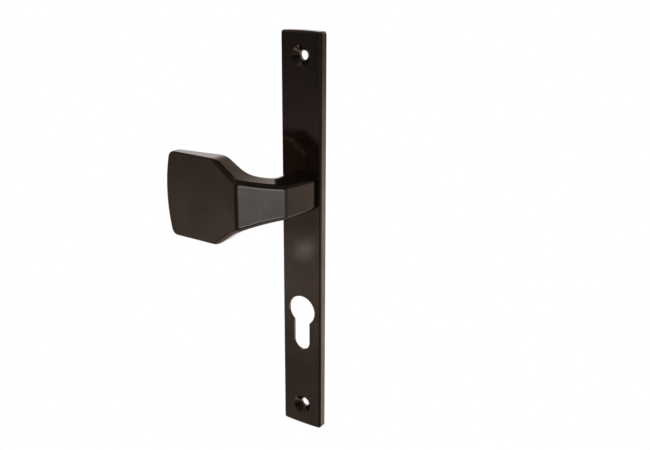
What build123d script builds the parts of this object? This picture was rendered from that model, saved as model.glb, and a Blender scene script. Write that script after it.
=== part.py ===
"""Door handle on a narrow backplate: a level lever with a broad paddle, sprung to return after a press.

Frame: the origin is on the lever's turning axis, on the door's face. X is to the right seen from the room,
Y goes into the door and Z is up. Everything in the room has a negative Y. Millimetres.
"""

import os
from math import cos, hypot, pi, sin, sqrt

from build123d import *

# Backplate: a cast shell, open towards the door
PLATE_LENGTH = 235.0
PLATE_WIDTH = 26.0
PLATE_DEPTH = 5.0
PLATE_WALL = 1.5
PLATE_RIM = 1.8
PLATE_EDGE_RADIUS = 1.2
PLATE_CORNER_RADIUS = 1.6
PLATE_END_BOW = 0.45
AXIS_ABOVE_CENTRE = 29.6
RIB_WIDTH = 1.4

# Fixing screws, countersunk, one near each end of the plate
SCREW_SPACING = 208.5
SCREW_HOLE_RADIUS = 2.65
COUNTERSINK_RADIUS = 5.7
SCREW_BOSS_RADIUS = 6.8

# Euro profile cylinder: a round head over a slot with a round foot
CYLINDER_DROP = 72.0
CYLINDER_HEAD_RADIUS = 8.5
CYLINDER_SLOT_WIDTH = 10.0
CYLINDER_HEIGHT = 33.0
CYLINDER_CLEARANCE = 0.4

# Lever seen from above, "out" being the distance from the plate's face
NECK_GAP = 0.3
NECK_RIGHT = 10.0
NECK_LEFT = 7.8
NECK_CORNER_X = 6.4
NECK_CORNER_OUT = 22.8
CREASE_X = -11.5
CREASE_OUT = 43.7
TIP_OUT = 42.0
TIP_THICKNESS = 7.1
ARM_THICKNESS = 13.65
KNEE_X = -16.3
BEND_RADIUS = 3.0
KNEE_RADIUS = 14.0
NECK_INSIDE_RADIUS = 12.0

# Lever seen from the room, the same above and below the axis
NECK_HALF_HEIGHT = 9.1
SHOULDER_X = -25.5
SHOULDER_RADIUS = 9.0
WAIST_X = -13.2
WAIST_HALF_HEIGHT = 15.1
WAIST_RADIUS = 75.0
WAIST_BLEND = 30.0
PADDLE_HALF_HEIGHT = 24.0
PADDLE_LEFT = 61.15
PADDLE_LEFT_BOW = 3.15
PADDLE_CORNER_RADIUS = 4.2
PADDLE_EDGE_RADIUS = 0.8
WAIST_EDGE_RADIUS = 2.5
LEVER_BACK_RADIUS = 5.0
ENVELOPE_MARGIN = 6.0
ENVELOPE_SKIN = 0.02

# Grey inlay on the slanted facet of the lever
INSERT_FRAME = 1.9
INSERT_END_MARGIN = 1.05
INSERT_THICKNESS = 1.8
INSERT_PROUD = 0.7
INSERT_GAP = 0.15
INSERT_EDGE_RADIUS = 0.9
INSERT_CORNER_RADIUS = 1.2

# Bearing of the lever in the plate
SPIGOT_RADIUS = 7.0
SPIGOT_FLATS = 12.4
SPIGOT_END_SETBACK = 0.3
RUNNING_CLEARANCE = 0.05
BUSH_WALL = 1.2
BUSH_FIT = 0.02
BUSH_FRONT_SETBACK = 0.2
BUSH_FLANGE_RADIUS = 9.8
BUSH_FLANGE = 0.7

# Square spindle and the set screw that holds it
SPINDLE_SIZE = 8.0
SPINDLE_CLEARANCE = 0.05
SPINDLE_DEPTH = 22.0
GRUB_RADIUS = 2.5
GRUB_FIT = 0.02
GRUB_LENGTH = 4.6
GRUB_OUT = 9.0
GRUB_SOCKET = 2.5
GRUB_SOCKET_DEPTH = 2.2
GRUB_TIP_CLEARANCE = 0.4

# Cam, shim and open ring behind the bush
CAM_GAP = 0.2
CAM_THICKNESS = 0.8
CAM_RADIUS = 9.4
CAM_FIT = 0.05
NOSE_REACH = 12.5
NOSE_WIDTH = 5.0
NOSE_DEPTH = 2.0
NOSE_RELIEF = 0.2
SHIM_THICKNESS = 0.25
SHIM_RADIUS = 9.0
RING_THICKNESS = 0.7
RING_RADIUS = 8.6
RING_GROOVE = 0.4
RING_FIT = 0.05
RING_MOUTH = 5.0

# Torsion spring on its post below the axis
WIRE = 1.1
COIL_RADIUS = 4.5
COIL_HALF_TURNS = 3
COIL_STEPS = 12
COIL_PITCH = 1.15
COIL_DROP = 20.0
COIL_FLOOR_GAP = 0.1
LEG_GAP = 0.1
LEG_REST = 10.6
POST_CLEARANCE = 0.6
POST_NECK = 0.9
RETAINER_THICKNESS = 0.3
RETAINER_LAP = 1.4
RETAINER_FIT = 0.02
STOP_GAP = 0.3
STOP_WIDTH = 2.3
STOP_HEIGHT = 3.6
STOP_DEPTH = 2.0

# Derived places
FACE_Y = -PLATE_DEPTH
FLOOR_Y = FACE_Y + PLATE_WALL
NECK_BASE_Y = FACE_Y - NECK_GAP
SCREW_Z = [-AXIS_ABOVE_CENTRE + side * SCREW_SPACING / 2 for side in (-1, 1)]
BUSH_RADIUS = SPIGOT_RADIUS + RUNNING_CLEARANCE + BUSH_WALL
CAM_Y = FLOOR_Y + BUSH_FLANGE + CAM_GAP
SHIM_Y = CAM_Y + CAM_THICKNESS
RING_Y = SHIM_Y + SHIM_THICKNESS
LEG_X = NOSE_WIDTH / 2 + LEG_GAP + WIRE / 2
POST_X = LEG_X - COIL_RADIUS
COIL_START_Y = FLOOR_Y + COIL_FLOOR_GAP + WIRE / 2
COIL_END_Y = COIL_START_Y + COIL_HALF_TURNS / 2 * COIL_PITCH
COIL_BACK_Y = COIL_END_Y + WIRE / 2
POST_RADIUS = COIL_RADIUS - WIRE / 2 - POST_CLEARANCE


def rod(radius, start_y, end_y, x=0.0, z=0.0):
    """Cylinder along Y between two depths."""
    return Pos(x, (start_y + end_y) / 2, z) * Rot(90, 0, 0) * Cylinder(radius, end_y - start_y)


def block(size_x, size_z, start_y, end_y, x=0.0, z=0.0):
    """Box between two depths, centred at x and z."""
    return Pos(x, (start_y + end_y) / 2, z) * Box(size_x, end_y - start_y, size_z)


def slice_from(face, start_y, end_y):
    """Extrude a face drawn as seen from the room, between two depths."""
    return extrude(Pos(0, end_y, 0) * (Plane.XZ * face), end_y - start_y, dir=(0, -1, 0))


def plate_outline(inset):
    """Plate seen from the room, drawn about the turning axis."""
    half_width = PLATE_WIDTH / 2 - inset
    half_length = PLATE_LENGTH / 2 - inset
    corner = half_length - PLATE_END_BOW
    edges = [
        Line((half_width, -corner), (half_width, corner)),
        ThreePointArc((half_width, corner), (0, half_length), (-half_width, corner)),
        Line((-half_width, corner), (-half_width, -corner)),
        ThreePointArc((-half_width, -corner), (0, -half_length), (half_width, -corner)),
    ]
    face = make_face(edges)
    return Pos(0, -AXIS_ABOVE_CENTRE) * fillet(face.vertices(), PLATE_CORNER_RADIUS)


def cylinder_outline():
    """Cut-out for the lock cylinder, drawn about the turning axis."""
    head = CYLINDER_HEAD_RADIUS + CYLINDER_CLEARANCE
    half_slot = CYLINDER_SLOT_WIDTH / 2 + CYLINDER_CLEARANCE
    foot = CYLINDER_HEIGHT + 2 * CYLINDER_CLEARANCE - head - half_slot
    slot = Pos(0, -foot / 2) * Rectangle(2 * half_slot, foot)
    return Pos(0, -CYLINDER_DROP) * (Circle(head) + slot + Pos(0, -foot) * Circle(half_slot))


def screw_cut(z):
    """Through hole with a right-angled countersink that opens at the plate's face."""
    depth = COUNTERSINK_RADIUS - SCREW_HOLE_RADIUS
    cone = Rot(90, 0, 0) * Cone(SCREW_HOLE_RADIUS, COUNTERSINK_RADIUS, depth)
    return rod(SCREW_HOLE_RADIUS, FACE_Y, 0, z=z) + Pos(0, FACE_Y + depth / 2, z) * cone


def rib_places():
    """Heights of the cross ribs, each halfway along an open bay of the shell."""
    cut_top = -CYLINDER_DROP + CYLINDER_HEAD_RADIUS
    cut_foot = cut_top - CYLINDER_HEIGHT
    upper = (SCREW_Z[1] + BUSH_FLANGE_RADIUS) / 2
    middle = (cut_top - COIL_DROP - 2 * COIL_RADIUS) / 2
    lower = (cut_foot + SCREW_Z[0]) / 2
    return [upper, middle, lower]


def stop_block():
    """Stop that the cam's nose rests against, which also anchors the spring's fixed leg."""
    x = -NOSE_WIDTH / 2 - STOP_GAP - STOP_WIDTH / 2
    return block(STOP_WIDTH, STOP_HEIGHT, FLOOR_Y, FLOOR_Y + STOP_DEPTH, x, -LEG_REST - STOP_HEIGHT / 2)


def spring_post():
    """Post of the spring, with a thinner end for its push-on washer."""
    stem = rod(POST_RADIUS, FLOOR_Y, COIL_BACK_Y, POST_X, -COIL_DROP)
    end = rod(POST_RADIUS - POST_NECK, COIL_BACK_Y, COIL_BACK_Y + RETAINER_THICKNESS, POST_X, -COIL_DROP)
    return stem + end


def backplate():
    plate = slice_from(plate_outline(0), FACE_Y, 0)
    front_edges = plate.faces().sort_by(Axis.Y)[0].edges()
    plate = fillet(front_edges, PLATE_EDGE_RADIUS)
    cavity = slice_from(plate_outline(PLATE_RIM), FLOOR_Y, 0)
    plate -= cavity
    for z in SCREW_Z:
        plate += rod(SCREW_BOSS_RADIUS, FLOOR_Y, 0, z=z)
    for z in rib_places():
        plate += block(PLATE_WIDTH - PLATE_RIM, RIB_WIDTH, FLOOR_Y, 0, z=z)
    plate += stop_block()
    plate += spring_post()
    for z in SCREW_Z:
        plate -= screw_cut(z)
    plate -= rod(BUSH_RADIUS + BUSH_FIT, FACE_Y, FLOOR_Y)
    plate -= slice_from(cylinder_outline(), FACE_Y, FLOOR_Y)
    return plate


def out_y(distance):
    """Depth of a place that stands this far out from the plate's face."""
    return FACE_Y - distance


def facet_directions():
    """Along the slanted facet from neck to paddle, and square to it towards the room."""
    run = CREASE_X - NECK_CORNER_X
    rise = out_y(CREASE_OUT) - out_y(NECK_CORNER_OUT)
    length = hypot(run, rise)
    along = Vector(run / length, rise / length)
    return along, Vector(-along.Y, along.X), length


def waist_centre():
    """Centre of the hollow arc between the shoulder and the neck, above the axis."""
    waist = Vector(WAIST_X, WAIST_HALF_HEIGHT)
    chord = Vector(NECK_RIGHT, NECK_HALF_HEIGHT) - waist
    rise = sqrt(WAIST_RADIUS**2 - (chord.length / 2) ** 2)
    return waist + chord / 2 + Vector(-chord.Y, chord.X).normalized() * rise


def lever_front(margin=0.0, skin=0.0):
    """Lever seen from the room: the paddle, its sloping shoulders and the hollow waist.

    The margin makes the paddle larger all round, on the same slopes, and the skin makes the whole thicker.
    """
    half_height = PADDLE_HALF_HEIGHT + skin + margin
    middle = PADDLE_LEFT + margin
    left = middle - PADDLE_LEFT_BOW
    slope = (SHOULDER_X - WAIST_X) / (PADDLE_HALF_HEIGHT - WAIST_HALF_HEIGHT)
    corner = (-left, half_height)
    shoulder = (SHOULDER_X + slope * margin, half_height)
    waist = (WAIST_X, WAIST_HALF_HEIGHT + skin)
    neck = (NECK_RIGHT, NECK_HALF_HEIGHT + skin)
    upper = [Polyline(corner, shoulder, waist), RadiusArc(waist, neck, -WAIST_RADIUS)]
    lower = [mirror(edge, Plane.XZ) for edge in upper]
    end = Line(neck, (neck[0], -neck[1]))
    tip = ThreePointArc((-left, -half_height), (-middle, 0), corner)
    face = make_face([*upper, end, *lower, tip])
    for place, radius in ((corner, PADDLE_CORNER_RADIUS), (shoulder, SHOULDER_RADIUS), (waist, WAIST_BLEND)):
        for side in (-1, 1):
            vertex = face.vertices().sort_by_distance((place[0], side * place[1]))[0]
            face = fillet(vertex, radius)
    return face


def lever_plan():
    """Lever seen from above: the neck, the slanted arm and the paddle that thins towards its tip."""
    along, square, _ = facet_directions()
    corner = Vector(NECK_CORNER_X, out_y(NECK_CORNER_OUT))
    crease = Vector(CREASE_X, out_y(CREASE_OUT))
    arm_back = corner - square * ARM_THICKNESS

    def arm_back_y(x):
        return arm_back.Y + (x - arm_back.X) * along.Y / along.X

    knee = Vector(KNEE_X, arm_back_y(KNEE_X))
    inside = Vector(-NECK_LEFT, arm_back_y(-NECK_LEFT))
    tip_x = -PADDLE_LEFT - 2 * ENVELOPE_MARGIN
    points = [
        (NECK_RIGHT, NECK_BASE_Y),
        corner,
        crease,
        (tip_x, out_y(TIP_OUT)),
        (tip_x, out_y(TIP_OUT - TIP_THICKNESS)),
        knee,
        inside,
        (-NECK_LEFT, NECK_BASE_Y),
    ]
    face = make_face(Polyline(*points, close=True))
    bends = [
        (corner, BEND_RADIUS),
        (crease, BEND_RADIUS),
        (knee, KNEE_RADIUS),
        (inside, NECK_INSIDE_RADIUS),
    ]
    for place, radius in bends:
        face = fillet(face.vertices().sort_by_distance(place)[0], radius)
    return face


def insert_block(gap, depth, proud):
    """Space between the facet's frame, to a depth below the facet and a height above it."""
    along, square, length = facet_directions()
    centre = waist_centre()
    margin = INSERT_END_MARGIN + gap
    start = Vector(NECK_CORNER_X, out_y(NECK_CORNER_OUT)) + along * margin
    end = start + along * (length - 2 * margin)
    corners = [start + square * proud, end + square * proud, end - square * depth, start - square * depth]
    slab = extrude(make_face(Polyline(*corners, close=True)), PADDLE_HALF_HEIGHT, both=True)
    for side in (-1, 1):
        hollow = Pos(centre.X, side * centre.Y) * Circle(WAIST_RADIUS + INSERT_FRAME + gap)
        slab -= slice_from(hollow, out_y(2 * TIP_OUT), 0)
    levels = slab.faces().sort_by(Axis((0, 0, 0), (square.X, square.Y, 0)))
    return fillet(slab.edges() - levels[0].edges() - levels[-1].edges(), INSERT_CORNER_RADIUS)


def lever_blank(plan, front):
    """What the outlines from above and from the room have in common."""
    return extrude(plan, 3 * PADDLE_HALF_HEIGHT, both=True) & slice_from(front, out_y(2 * TIP_OUT), 0)


def tip_edges(body):
    """Front and back edge at the paddle's tip, each a link of the smooth chain round that face."""
    return body.edges().sort_by(Axis.X)[:2].sort_by(Axis.Y)


def soft_envelope():
    """Slightly larger lever with a wide paddle, whose front rim is rounded as the waist's edges are."""
    plan = offset(lever_plan(), ENVELOPE_SKIN, kind=Kind.INTERSECTION)
    body = lever_blank(plan, lever_front(ENVELOPE_MARGIN, ENVELOPE_SKIN))
    return fillet(tip_edges(body)[0], WAIST_EDGE_RADIUS)


def lever_casting():
    """Solid lever: crisp edges round the paddle that run out into the soft edges of the waist."""
    body = lever_blank(lever_plan(), lever_front())
    front, back = tip_edges(body)
    back_place = back.center()
    body = fillet(front, PADDLE_EDGE_RADIUS)
    body = fillet(body.edges().sort_by_distance(back_place)[0], LEVER_BACK_RADIUS)
    return body & soft_envelope()


def flatted_outline(clearance):
    """Section of the spigot's flatted end, grown by a clearance."""
    return Circle(SPIGOT_RADIUS + clearance) & Rectangle(SPIGOT_FLATS + 2 * clearance, 3 * SPIGOT_RADIUS)


def spigot():
    """Round bearing behind the neck, with a flatted end and the groove of the open ring."""
    end_y = -SPIGOT_END_SETBACK
    groove = rod(SPIGOT_RADIUS, RING_Y, RING_Y + RING_THICKNESS + RING_FIT)
    groove -= rod(SPIGOT_RADIUS - RING_GROOVE, RING_Y, RING_Y + RING_THICKNESS + RING_FIT)
    return rod(SPIGOT_RADIUS, NECK_BASE_Y, CAM_Y) + slice_from(flatted_outline(0), CAM_Y, end_y) - groove


def grub_cut():
    """Tapped hole from the underside of the neck to the spindle socket."""
    hole = Cylinder(GRUB_RADIUS + GRUB_FIT, PADDLE_HALF_HEIGHT, align=(Align.CENTER, Align.CENTER, Align.MAX))
    return Pos(0, out_y(GRUB_OUT), 0) * hole


def lever():
    body = lever_casting() + spigot()
    socket = SPINDLE_SIZE + 2 * SPINDLE_CLEARANCE
    body -= block(socket, socket, -SPIGOT_END_SETBACK - SPINDLE_DEPTH, 0)
    body -= grub_cut()
    body -= insert_block(0, INSERT_THICKNESS, ARM_THICKNESS)
    return body


def grip_insert():
    inlay = insert_block(INSERT_GAP, INSERT_THICKNESS, INSERT_PROUD)
    _, square, _ = facet_directions()
    face = inlay.faces().sort_by(Axis((0, 0, 0), (square.X, square.Y, 0)))[-1]
    return fillet(face.edges(), INSERT_EDGE_RADIUS)


def bearing_bush():
    sleeve = rod(BUSH_RADIUS, FACE_Y + BUSH_FRONT_SETBACK, FLOOR_Y + BUSH_FLANGE)
    flange = rod(BUSH_FLANGE_RADIUS, FLOOR_Y, FLOOR_Y + BUSH_FLANGE)
    return sleeve + flange - rod(SPIGOT_RADIUS + RUNNING_CLEARANCE, FACE_Y, 0)


def driver_cam():
    disc = Circle(CAM_RADIUS) + Pos(0, -NOSE_REACH / 2) * Rectangle(NOSE_WIDTH, NOSE_REACH)
    cam = slice_from(disc - flatted_outline(CAM_FIT), CAM_Y, CAM_Y + CAM_THICKNESS)
    lug_height = NOSE_REACH - CAM_RADIUS - NOSE_RELIEF
    lug = block(NOSE_WIDTH, lug_height, CAM_Y, CAM_Y + NOSE_DEPTH, z=lug_height / 2 - NOSE_REACH)
    return cam + lug


def shim_washer():
    hole = rod(SPIGOT_RADIUS + CAM_FIT, SHIM_Y, RING_Y)
    return rod(SHIM_RADIUS, SHIM_Y, RING_Y) - hole


def retaining_ring():
    inner = SPIGOT_RADIUS - RING_GROOVE + RING_FIT
    mouth = Pos(0, RING_RADIUS / 2) * Rectangle(RING_MOUTH, RING_RADIUS)
    return slice_from(Circle(RING_RADIUS) - Circle(inner) - mouth, RING_Y, RING_Y + RING_THICKNESS)


def coil_point(share):
    """Place on the coil's centre line, from the fixed leg at 0 to the moving leg at 1."""
    angle = pi * COIL_HALF_TURNS * (share - 1)
    x = POST_X + COIL_RADIUS * cos(angle)
    z = -COIL_DROP + COIL_RADIUS * sin(angle)
    return (x, COIL_START_Y + share * (COIL_END_Y - COIL_START_Y), z)


def return_spring():
    steps = COIL_STEPS * COIL_HALF_TURNS
    start, end = coil_point(0), coil_point(1)
    coil = Spline(*[coil_point(step / steps) for step in range(steps + 1)], tangents=[(0, 0, -1), (0, 0, 1)])
    fixed_leg = Line((start[0], start[1], -LEG_REST), start)
    moving_leg = Line(end, (end[0], end[1], -LEG_REST))
    path = Wire([fixed_leg, coil, moving_leg])
    return sweep(Plane(path @ 0, z_dir=path % 0) * Circle(WIRE / 2), path=path)


def spring_retainer():
    start_y, end_y = COIL_BACK_Y, COIL_BACK_Y + RETAINER_THICKNESS
    hole = rod(POST_RADIUS - POST_NECK + RETAINER_FIT, start_y, end_y, POST_X, -COIL_DROP)
    return rod(POST_RADIUS + RETAINER_LAP, start_y, end_y, POST_X, -COIL_DROP) - hole


def grub_screw():
    tip_z = -SPINDLE_SIZE / 2 - SPINDLE_CLEARANCE - GRUB_TIP_CLEARANCE
    body = Cylinder(GRUB_RADIUS, GRUB_LENGTH)
    socket = extrude(RegularPolygon(GRUB_SOCKET / sqrt(3), 6), GRUB_SOCKET_DEPTH)
    screw = body - Pos(0, 0, -GRUB_LENGTH / 2) * socket
    return Pos(0, out_y(GRUB_OUT), tip_z - GRUB_LENGTH / 2) * screw


PIECES = [
    backplate,
    lever,
    grip_insert,
    bearing_bush,
    driver_cam,
    shim_washer,
    retaining_ring,
    return_spring,
    spring_retainer,
    grub_screw,
]

if __name__ == "__main__":
    os.makedirs("parts", exist_ok=True)
    for piece in PIECES:
        export_step(piece(), f"parts/{piece.__name__}.step")
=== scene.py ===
"""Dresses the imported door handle: finishes, studio light and the camera of the photograph.

Metres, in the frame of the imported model: the origin is on the turning axis at the door's face, X is to the
right seen from the room, Y goes into the door and Z is up.
"""

from math import radians

import bpy
from mathutils import Matrix, Vector

# Camera, fitted to the photograph
CAMERA_PLACE = (0.25617, -0.37748, 0.12994)
CAMERA_YAW = radians(32.83)
CAMERA_PITCH = radians(18.30)
CAMERA_ROLL = radians(-0.31)
CAMERA_NEAR = 0.01
SENSOR_WIDTH = 36.0
PHOTO_WIDTH_PX = 650.0
FOCAL_PX = 844.9

# Places that split the coated outside from the bare casting, each with the width of its soft border
PLATE_FLOOR_Y = -0.0035
PLATE_FLOOR_BORDER = (-0.0002, 0.0001)
NECK_BASE_Y = -0.0053
NECK_BASE_BORDER = 0.00005
SOCKET_HALF = 0.00407
SOCKET_BORDER = 0.00004
SOCKET_END_Y = -0.0224
SOCKET_END_BORDER = 0.0001

# Floor below the handle
FLOOR_Z = -1.05
FLOOR_HALF = 3.0
FLOOR_ROUGHNESS = 0.7
SQUARE = [(-1, -1), (1, -1), (1, 1), (-1, 1)]

# Round lamp that the plate mirrors below the neck
LAMP_PLACE = (-0.631, -0.934, -0.4425)
LAMP_TARGET = (0.004, -0.005, -0.035)
LAMP_SIZE = 0.025
LAMP_POWER = 0.0027
LAMP_TINT = (0.70, 0.89, 1.0)

# Soft light on matt surfaces: its level below, and what it gains from the first height to the second
SOFT_LEVEL = 0.52
SOFT_GAIN = 0.50
SOFT_HEIGHTS = (-0.40, 0.80)

# The room that glossy surfaces mirror, by direction. A zone is a list of steps (axis, from, to): over each
# step its share goes from 0 to 1, and the shares multiply. Besides x, y and z there are two slanted axes.
BEHIND_SLANT = -0.1
RISE_SLANT = 0.15

# The white backdrop: where it starts low down and high up, and where the one passes into the other
BACKDROP_LOW = [("behind", 0.37, 0.80)]
BACKDROP_HIGH = [("behind", 0.62, 0.80)]
BACKDROP_PASSAGE = [("z", 0.35, 0.55)]

# Share of the backdrop's light that each zone takes away
BACKDROP_DIMS = {
    "top": (0.60, [("rise", 0.35, 0.62)]),
    "right": (0.76, [("x", 0.30, 0.50), ("z", -0.34, -0.08)]),
    "left_corner": (0.80, [("x", -0.55, -0.66), ("z", -0.46, -0.34), ("z", 0.20, 0.08)]),
    "straight_behind": (0.50, [("y", 0.83, 0.95)]),
    "high_left": (0.85, [("x", -0.02, -0.14), ("y", 0.81, 0.84), ("z", 0.10, 0.22), ("z", 0.66, 0.54)]),
}

# The dim room before the object: its level by height, the sides' gain on that, and lights added to it
FRONT_LEVELS = [
    (-1.0, 0.20),
    (-0.46, 0.15),
    (-0.37, 0.31),
    (-0.28, 0.19),
    (-0.12, 0.06),
    (0.04, 0.02),
    (1.0, 0.03),
]
FRONT_SIDES = {
    "past_left": (-0.67, [("x", -0.45, -0.15)]),
    "far_right": (0.65, [("x", 0.70, 0.90)]),
}
FRONT_LIGHTS = {
    "overhead": (0.11, [("x", -0.10, -0.45), ("z", 0.50, 0.75)]),
    "left": (0.10, [("x", -0.46, -0.58), ("z", -0.03, 0.13), ("z", 0.68, 0.52)]),
    "ahead": (0.09, [("x", -0.44, -0.32), ("x", 0.64, 0.52), ("z", -0.23, -0.15), ("z", 0.54, 0.46)]),
}
FRONT_DIMS = {
    "beside_lamp": (
        0.28,
        [("x", -0.61, -0.57), ("x", -0.18, -0.22), ("z", -0.372, -0.348), ("z", -0.08, -0.15)],
    ),
}
CEILING_LIGHTS = {
    "ceiling": (0.045, [("z", 0.35, 0.60)]),
    "skylight": (0.12, [("x", 0.12, 0.02), ("z", 0.88, 0.95)]),
}
FLOOR_LIGHTS = {"floor": (0.45, [("z", -0.50, -0.90)])}

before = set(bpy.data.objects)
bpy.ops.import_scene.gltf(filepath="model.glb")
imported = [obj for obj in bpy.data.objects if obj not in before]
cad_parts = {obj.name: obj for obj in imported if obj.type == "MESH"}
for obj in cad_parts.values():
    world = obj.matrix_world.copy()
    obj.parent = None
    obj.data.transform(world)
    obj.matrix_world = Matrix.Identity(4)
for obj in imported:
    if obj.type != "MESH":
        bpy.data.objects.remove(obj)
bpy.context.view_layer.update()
scene = bpy.context.scene


class Nodes:
    """Short way to write a node tree."""

    def __init__(self, tree):
        self.tree = tree
        tree.nodes.clear()

    def add(self, kind, **values):
        node = self.tree.nodes.new(kind)
        for name, value in values.items():
            setattr(node, name, value)
        return node

    def set(self, socket, value):
        if isinstance(value, bpy.types.NodeSocket):
            self.tree.links.new(value, socket)
        else:
            socket.default_value = value

    def math(self, operation, a, b=0.0, c=0.0):
        node = self.add("ShaderNodeMath", operation=operation)
        for socket, value in zip(node.inputs, (a, b, c)):
            self.set(socket, value)
        return node.outputs[0]

    def scaled(self, value, gain, offset):
        return self.math("MULTIPLY_ADD", value, gain, offset)

    def smooth(self, value, low, high):
        node = self.add("ShaderNodeMapRange", interpolation_type="SMOOTHSTEP")
        for name, number in (("Value", value), ("From Min", low), ("From Max", high)):
            self.set(node.inputs[name], number)
        return node.outputs["Result"]

    def mix(self, factor, a, b):
        node = self.add("ShaderNodeMix", data_type="RGBA")
        self.set(node.inputs[0], factor)
        self.set(node.inputs[6], a)
        self.set(node.inputs[7], b)
        return node.outputs[2]

    def lerp(self, factor, a, b):
        node = self.add("ShaderNodeMix", data_type="FLOAT")
        self.set(node.inputs[0], factor)
        self.set(node.inputs[2], a)
        self.set(node.inputs[3], b)
        return node.outputs[0]

    def noise(self, place, scale, detail, roughness=0.55):
        node = self.add("ShaderNodeTexNoise")
        self.set(node.inputs["Vector"], place)
        node.inputs["Scale"].default_value = scale
        node.inputs["Detail"].default_value = detail
        node.inputs["Roughness"].default_value = roughness
        return node.outputs["Fac"]

    def stretch(self, place, scale):
        node = self.add("ShaderNodeMapping")
        self.set(node.inputs["Vector"], place)
        node.inputs["Scale"].default_value = scale
        return node.outputs["Vector"]

    def bump(self, height, strength, distance):
        node = self.add("ShaderNodeBump")
        node.inputs["Strength"].default_value = strength
        node.inputs["Distance"].default_value = distance
        self.set(node.inputs["Height"], height)
        return node.outputs["Normal"]

    def axes(self, vector):
        node = self.add("ShaderNodeSeparateXYZ")
        self.set(node.inputs[0], vector)
        return node.outputs[0], node.outputs[1], node.outputs[2]

    def normal(self):
        return self.axes(self.add("ShaderNodeTexCoord").outputs["Normal"])


def colour(red, green, blue):
    return (red, green, blue, 1.0)


COAT_DARK = colour(0.150, 0.104, 0.082)
COAT_LIGHT = colour(0.192, 0.136, 0.108)
COAT_SPECK_SHARE = 0.25
COAT_PEEL_HEIGHT = 0.12
COAT_METALLIC = 0.98
CASTING_DARK = colour(0.150, 0.132, 0.120)
CASTING_LIGHT = colour(0.235, 0.218, 0.206)
CASTING_PATCH_SHARE = 0.55

INLAY_DARK = colour(0.150, 0.139, 0.125)
INLAY_LIGHT = colour(0.231, 0.216, 0.193)
# Colour of the painted highlight on the inlay's top and bottom rims
INLAY_RIM_HIGHLIGHT = colour(0.370, 0.355, 0.325)
INLAY_FACING = (0.760, -0.650)
INLAY_GRAIN_SHARE = 0.6
INLAY_METALLIC = 0.55

POLYMER_DARK = colour(0.60, 0.57, 0.50)
POLYMER_LIGHT = colour(0.74, 0.72, 0.66)
GREASE = colour(0.34, 0.27, 0.15)
GREASE_SHARE = 0.35

STEEL_CLOUD_SHARE = 0.45
STEEL_STAIN_SHARE = 0.5
STEEL_METALLIC = 0.95

FLOOR_DARK = colour(0.80, 0.79, 0.78)
FLOOR_LIGHT = colour(0.84, 0.83, 0.82)

# Brushing along X and Y: the noise is squeezed along Z
INLAY_BRUSHING = (1.0, 1.0, 9.0)
STEEL_BRUSHING = (1.0, 1.0, 14.0)


def new_material(name):
    material = bpy.data.materials.new(name)
    material.use_nodes = True
    nodes = Nodes(material.node_tree)
    shader = nodes.add("ShaderNodeBsdfPrincipled")
    output = nodes.add("ShaderNodeOutputMaterial")
    nodes.set(output.inputs["Surface"], shader.outputs[0])
    place = nodes.add("ShaderNodeTexCoord").outputs["Object"]
    return material, nodes, shader, place


def coat_on_casting(name, bare):
    """Dark bronze coat over a zinc casting. The mask says where the casting is left bare."""
    material, nodes, shader, place = new_material(name)
    mask = bare(nodes, place)
    cloud = nodes.noise(place, scale=55.0, detail=4.0)
    speck = nodes.noise(place, scale=2600.0, detail=2.0)
    peel = nodes.noise(place, scale=420.0, detail=2.0, roughness=0.4)
    tone = nodes.lerp(COAT_SPECK_SHARE, cloud, speck)
    coat = nodes.mix(nodes.smooth(tone, low=0.3, high=0.7), COAT_DARK, COAT_LIGHT)
    grain = nodes.noise(place, scale=900.0, detail=5.0, roughness=0.65)
    patches = nodes.noise(place, scale=140.0, detail=4.0)
    mottle = nodes.lerp(CASTING_PATCH_SHARE, grain, patches)
    casting = nodes.mix(nodes.smooth(mottle, low=0.35, high=0.65), CASTING_DARK, CASTING_LIGHT)
    nodes.set(shader.inputs["Base Color"], nodes.mix(mask, coat, casting))
    coat_rough = nodes.scaled(cloud, gain=0.05, offset=0.075)
    casting_rough = nodes.scaled(patches, gain=0.2, offset=0.36)
    nodes.set(shader.inputs["Roughness"], nodes.lerp(mask, coat_rough, casting_rough))
    shader.inputs["Metallic"].default_value = COAT_METALLIC
    height = nodes.lerp(mask, nodes.math("MULTIPLY", peel, COAT_PEEL_HEIGHT), grain)
    nodes.set(shader.inputs["Normal"], nodes.bump(height, strength=0.22, distance=0.00006))
    return material


def plate_bare(nodes, place):
    """Inside of the shell: the coat thins out over the floor of the cavity."""
    _, y, _ = nodes.axes(place)
    _, back, _ = nodes.normal()
    start, end = [PLATE_FLOOR_Y + border for border in PLATE_FLOOR_BORDER]
    inside = nodes.smooth(y, start, end)
    facing = nodes.smooth(back, low=0.2, high=0.7)
    thin = nodes.scaled(nodes.noise(place, scale=75.0, detail=5.0, roughness=0.6), gain=0.5, offset=0.5)
    return nodes.math("MULTIPLY", nodes.math("MULTIPLY", inside, facing), thin)


def lever_bare(nodes, place):
    """Turned bearing behind the neck and the broached square for the spindle."""
    x, y, z = nodes.axes(place)
    spigot = nodes.smooth(y, NECK_BASE_Y - NECK_BASE_BORDER, NECK_BASE_Y + NECK_BASE_BORDER)
    across = nodes.math("MAXIMUM", nodes.math("ABSOLUTE", x), nodes.math("ABSOLUTE", z))
    square = nodes.smooth(across, SOCKET_HALF + SOCKET_BORDER, SOCKET_HALF)
    deep = nodes.smooth(y, SOCKET_END_Y - SOCKET_END_BORDER, SOCKET_END_Y)
    return nodes.math("MAXIMUM", spigot, nodes.math("MULTIPLY", square, deep))


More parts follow.
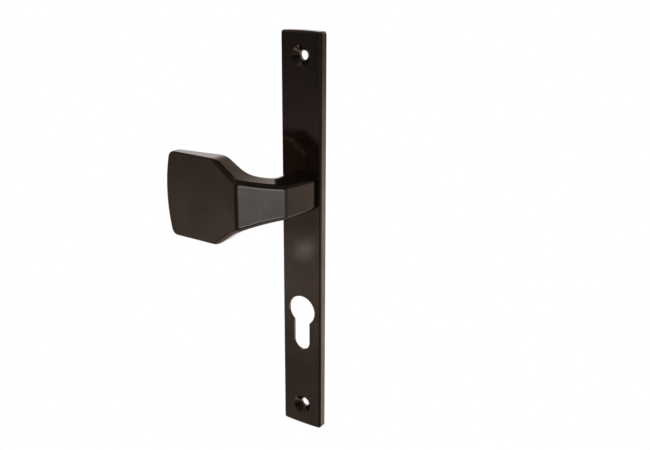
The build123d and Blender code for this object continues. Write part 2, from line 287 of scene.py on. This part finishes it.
def satin_inlay():
    """Grey satin inlay, brushed along its length, with a painted highlight on its long top and bottom edges.
    """
    material, nodes, shader, place = new_material("satin_grey")
    cloud = nodes.noise(place, scale=90.0, detail=3.0)
    grain = nodes.noise(nodes.stretch(place, INLAY_BRUSHING), scale=700.0, detail=4.0, roughness=0.6)
    tone = nodes.lerp(INLAY_GRAIN_SHARE, cloud, grain)
    face = nodes.mix(nodes.smooth(tone, low=0.3, high=0.7), INLAY_DARK, INLAY_LIGHT)
    across, out, up = nodes.normal()
    level = nodes.scaled(across, INLAY_FACING[0], nodes.math("MULTIPLY", out, INLAY_FACING[1]))
    long_edge = nodes.smooth(nodes.math("ABSOLUTE", up), low=0.05, high=0.30)
    # Painted highlight: the inlay is lighter where its surface turns away from its face along the top and
    # bottom rims
    rim_highlight = nodes.math("MULTIPLY", nodes.smooth(level, low=0.99, high=0.90), long_edge)
    nodes.set(shader.inputs["Base Color"], nodes.mix(rim_highlight, face, INLAY_RIM_HIGHLIGHT))
    nodes.set(shader.inputs["Roughness"], nodes.scaled(grain, gain=0.14, offset=0.34))
    shader.inputs["Metallic"].default_value = INLAY_METALLIC
    nodes.set(shader.inputs["Normal"], nodes.bump(grain, strength=0.12, distance=0.00003))
    return material


def moulded_polymer():
    """Natural polymer with traces of grease, which shine."""
    material, nodes, shader, place = new_material("natural_polymer")
    cloud = nodes.noise(place, scale=160.0, detail=4.0)
    grain = nodes.noise(place, scale=2400.0, detail=2.0)
    grease = nodes.smooth(nodes.noise(place, scale=300.0, detail=3.0), low=0.5, high=0.66)
    clean = nodes.mix(cloud, POLYMER_DARK, POLYMER_LIGHT)
    greased = nodes.mix(nodes.math("MULTIPLY", grease, GREASE_SHARE), clean, GREASE)
    nodes.set(shader.inputs["Base Color"], greased)
    nodes.set(shader.inputs["Roughness"], nodes.scaled(grease, gain=-0.22, offset=0.44))
    nodes.set(shader.inputs["Normal"], nodes.bump(grain, strength=0.08, distance=0.00004))
    return material


def worked_steel(name, dark, light, rough, stain):
    """Steel with drawn or rolled lines and a stain in patches."""
    material, nodes, shader, place = new_material(name)
    lines = nodes.noise(nodes.stretch(place, STEEL_BRUSHING), scale=520.0, detail=5.0, roughness=0.6)
    cloud = nodes.noise(place, scale=210.0, detail=4.0)
    tone = nodes.lerp(STEEL_CLOUD_SHARE, lines, cloud)
    metal = nodes.mix(nodes.smooth(tone, low=0.3, high=0.7), dark, light)
    patches = nodes.smooth(nodes.noise(place, scale=120.0, detail=3.0), low=0.45, high=0.7)
    stained = nodes.mix(nodes.math("MULTIPLY", patches, STEEL_STAIN_SHARE), metal, stain)
    nodes.set(shader.inputs["Base Color"], stained)
    nodes.set(shader.inputs["Roughness"], nodes.scaled(tone, gain=0.2, offset=rough))
    shader.inputs["Metallic"].default_value = STEEL_METALLIC
    nodes.set(shader.inputs["Normal"], nodes.bump(lines, strength=0.15, distance=0.00003))
    return material


def dress(node, material):
    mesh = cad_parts[node].data
    mesh.materials.clear()
    mesh.materials.append(material)


plated = worked_steel(
    "plated_steel",
    dark=colour(0.40, 0.39, 0.37),
    light=colour(0.62, 0.61, 0.58),
    rough=0.2,
    stain=colour(0.56, 0.50, 0.36),
)
spring_steel = worked_steel(
    "spring_steel",
    dark=colour(0.22, 0.22, 0.22),
    light=colour(0.42, 0.42, 0.41),
    rough=0.2,
    stain=colour(0.20, 0.17, 0.14),
)
black_steel = worked_steel(
    "black_steel",
    dark=colour(0.030, 0.030, 0.032),
    light=colour(0.060, 0.060, 0.062),
    rough=0.28,
    stain=colour(0.05, 0.043, 0.036),
)
dress("backplate", coat_on_casting("coated_plate", plate_bare))
dress("lever", coat_on_casting("coated_lever", lever_bare))
dress("grip_insert", satin_inlay())
dress("bearing_bush", moulded_polymer())
dress("driver_cam", plated)
dress("shim_washer", plated)
dress("retaining_ring", spring_steel)
dress("return_spring", spring_steel)
dress("spring_retainer", spring_steel)
dress("grub_screw", black_steel)


def zone(nodes, direction, steps):
    """Share of a zone of the room: 1 inside it, and 0 outside its soft bounds."""
    share = 1.0
    for axis, start, end in steps:
        share = nodes.math("MULTIPLY", nodes.smooth(direction[axis], start, end), share)
    return share


def lit(nodes, direction, level, lights):
    """Level with the light of each zone added."""
    for strength, steps in lights.values():
        level = nodes.math("MULTIPLY_ADD", zone(nodes, direction, steps), strength, level)
    return level


def dimmed(nodes, direction, level, dims):
    """Level with the share of each zone taken away."""
    for strength, steps in dims.values():
        kept = nodes.math("MULTIPLY_ADD", zone(nodes, direction, steps), -strength, 1.0)
        level = nodes.math("MULTIPLY", kept, level)
    return level


def level_by_height(nodes, height, levels):
    """Grey ramp over heights from -1 to 1."""
    ramp = nodes.add("ShaderNodeValToRGB")
    nodes.set(ramp.inputs[0], nodes.scaled(height, gain=0.5, offset=0.5))
    elements = ramp.color_ramp.elements
    while len(elements) < len(levels):
        elements.new(0.5)
    for element, (place, level) in zip(elements, levels):
        element.position = 0.5 * place + 0.5
        element.color = colour(level, level, level)
    return ramp.outputs[0]


def room_light(nodes, x, y, z):
    """What the coat mirrors: a white backdrop with dim zones, and a dim room before the object."""
    direction = {"x": x, "y": y, "z": z}
    direction["behind"] = nodes.math("MULTIPLY_ADD", x, BEHIND_SLANT, y)
    direction["rise"] = nodes.math("MULTIPLY_ADD", x, RISE_SLANT, z)
    low = zone(nodes, direction, BACKDROP_LOW)
    high = zone(nodes, direction, BACKDROP_HIGH)
    reach = nodes.lerp(zone(nodes, direction, BACKDROP_PASSAGE), low, high)
    backdrop = dimmed(nodes, direction, 1.0, BACKDROP_DIMS)
    sides = lit(nodes, direction, 1.0, FRONT_SIDES)
    front = nodes.math("MULTIPLY", level_by_height(nodes, z, FRONT_LEVELS), sides)
    front = lit(nodes, direction, front, FRONT_LIGHTS)
    front = nodes.math("MAXIMUM", front, lit(nodes, direction, 0.0, CEILING_LIGHTS))
    front = dimmed(nodes, direction, front, FRONT_DIMS)
    front = nodes.math("MAXIMUM", front, lit(nodes, direction, 0.0, FLOOR_LIGHTS))
    return nodes.lerp(reach, front, backdrop)


def studio_world():
    """White all round for the camera, soft light from above for matt surfaces, the room in reflections."""
    world = bpy.data.worlds.new("studio")
    scene.world = world
    world.use_nodes = True
    nodes = Nodes(world.node_tree)
    x, y, z = nodes.axes(nodes.add("ShaderNodeTexCoord").outputs["Generated"])
    path = nodes.add("ShaderNodeLightPath")
    soft = nodes.scaled(nodes.smooth(z, *SOFT_HEIGHTS), SOFT_GAIN, SOFT_LEVEL)
    plain = nodes.lerp(path.outputs["Is Glossy Ray"], soft, room_light(nodes, x, y, z))
    seen = nodes.math("MAXIMUM", path.outputs["Is Camera Ray"], path.outputs["Is Transmission Ray"])
    background = nodes.add("ShaderNodeBackground")
    background.inputs["Color"].default_value = colour(1.0, 1.0, 1.0)
    nodes.set(background.inputs["Strength"], nodes.lerp(seen, plain, 1.0))
    output = nodes.add("ShaderNodeOutputWorld")
    nodes.set(output.inputs["Surface"], background.outputs[0])


studio_world()


def round_lamp():
    lamp = bpy.data.lights.new("round_lamp", "AREA")
    lamp.shape = "DISK"
    lamp.size = LAMP_SIZE
    lamp.energy = LAMP_POWER
    lamp.color = LAMP_TINT
    holder = bpy.data.objects.new("round_lamp", lamp)
    scene.collection.objects.link(holder)
    holder.location = LAMP_PLACE
    aim = Vector(LAMP_TARGET) - Vector(LAMP_PLACE)
    holder.rotation_euler = aim.to_track_quat("-Z", "Y").to_euler()


round_lamp()


def pale_floor():
    """Floor at the height a door handle stands above it, white to the camera as the backdrop is."""
    mesh = bpy.data.meshes.new("floor")
    corners = [(side_x * FLOOR_HALF, side_y * FLOOR_HALF, FLOOR_Z) for side_x, side_y in SQUARE]
    mesh.from_pydata(corners, [], [(0, 1, 2, 3)])
    floor = bpy.data.objects.new("floor", mesh)
    scene.collection.objects.link(floor)
    material, nodes, shader, place = new_material("pale_floor")
    tone = nodes.smooth(nodes.noise(place, scale=6.0, detail=4.0), low=0.3, high=0.7)
    nodes.set(shader.inputs["Base Color"], nodes.mix(tone, FLOOR_DARK, FLOOR_LIGHT))
    shader.inputs["Roughness"].default_value = FLOOR_ROUGHNESS
    white = nodes.add("ShaderNodeEmission")
    blend = nodes.add("ShaderNodeMixShader")
    nodes.set(blend.inputs[0], nodes.add("ShaderNodeLightPath").outputs["Is Camera Ray"])
    nodes.set(blend.inputs[1], shader.outputs[0])
    nodes.set(blend.inputs[2], white.outputs[0])
    output = next(node for node in material.node_tree.nodes if node.type == "OUTPUT_MATERIAL")
    nodes.set(output.inputs["Surface"], blend.outputs[0])
    mesh.materials.append(material)
    floor.visible_glossy = False


pale_floor()


def camera():
    yaw_turn = Matrix.Rotation(CAMERA_YAW, 4, "Z")
    tilt = Matrix.Rotation(radians(90.0) - CAMERA_PITCH, 4, "X")
    roll = Matrix.Rotation(-CAMERA_ROLL, 4, "Z")
    lens = bpy.data.cameras.new("camera")
    lens.sensor_fit = "HORIZONTAL"
    lens.sensor_width = SENSOR_WIDTH
    lens.lens = SENSOR_WIDTH * FOCAL_PX / PHOTO_WIDTH_PX
    lens.clip_start = CAMERA_NEAR
    holder = bpy.data.objects.new("camera", lens)
    scene.collection.objects.link(holder)
    holder.matrix_world = Matrix.Translation(CAMERA_PLACE) @ yaw_turn @ tilt @ roll
    scene.camera = holder


camera()
scene.view_settings.view_transform = "Standard"
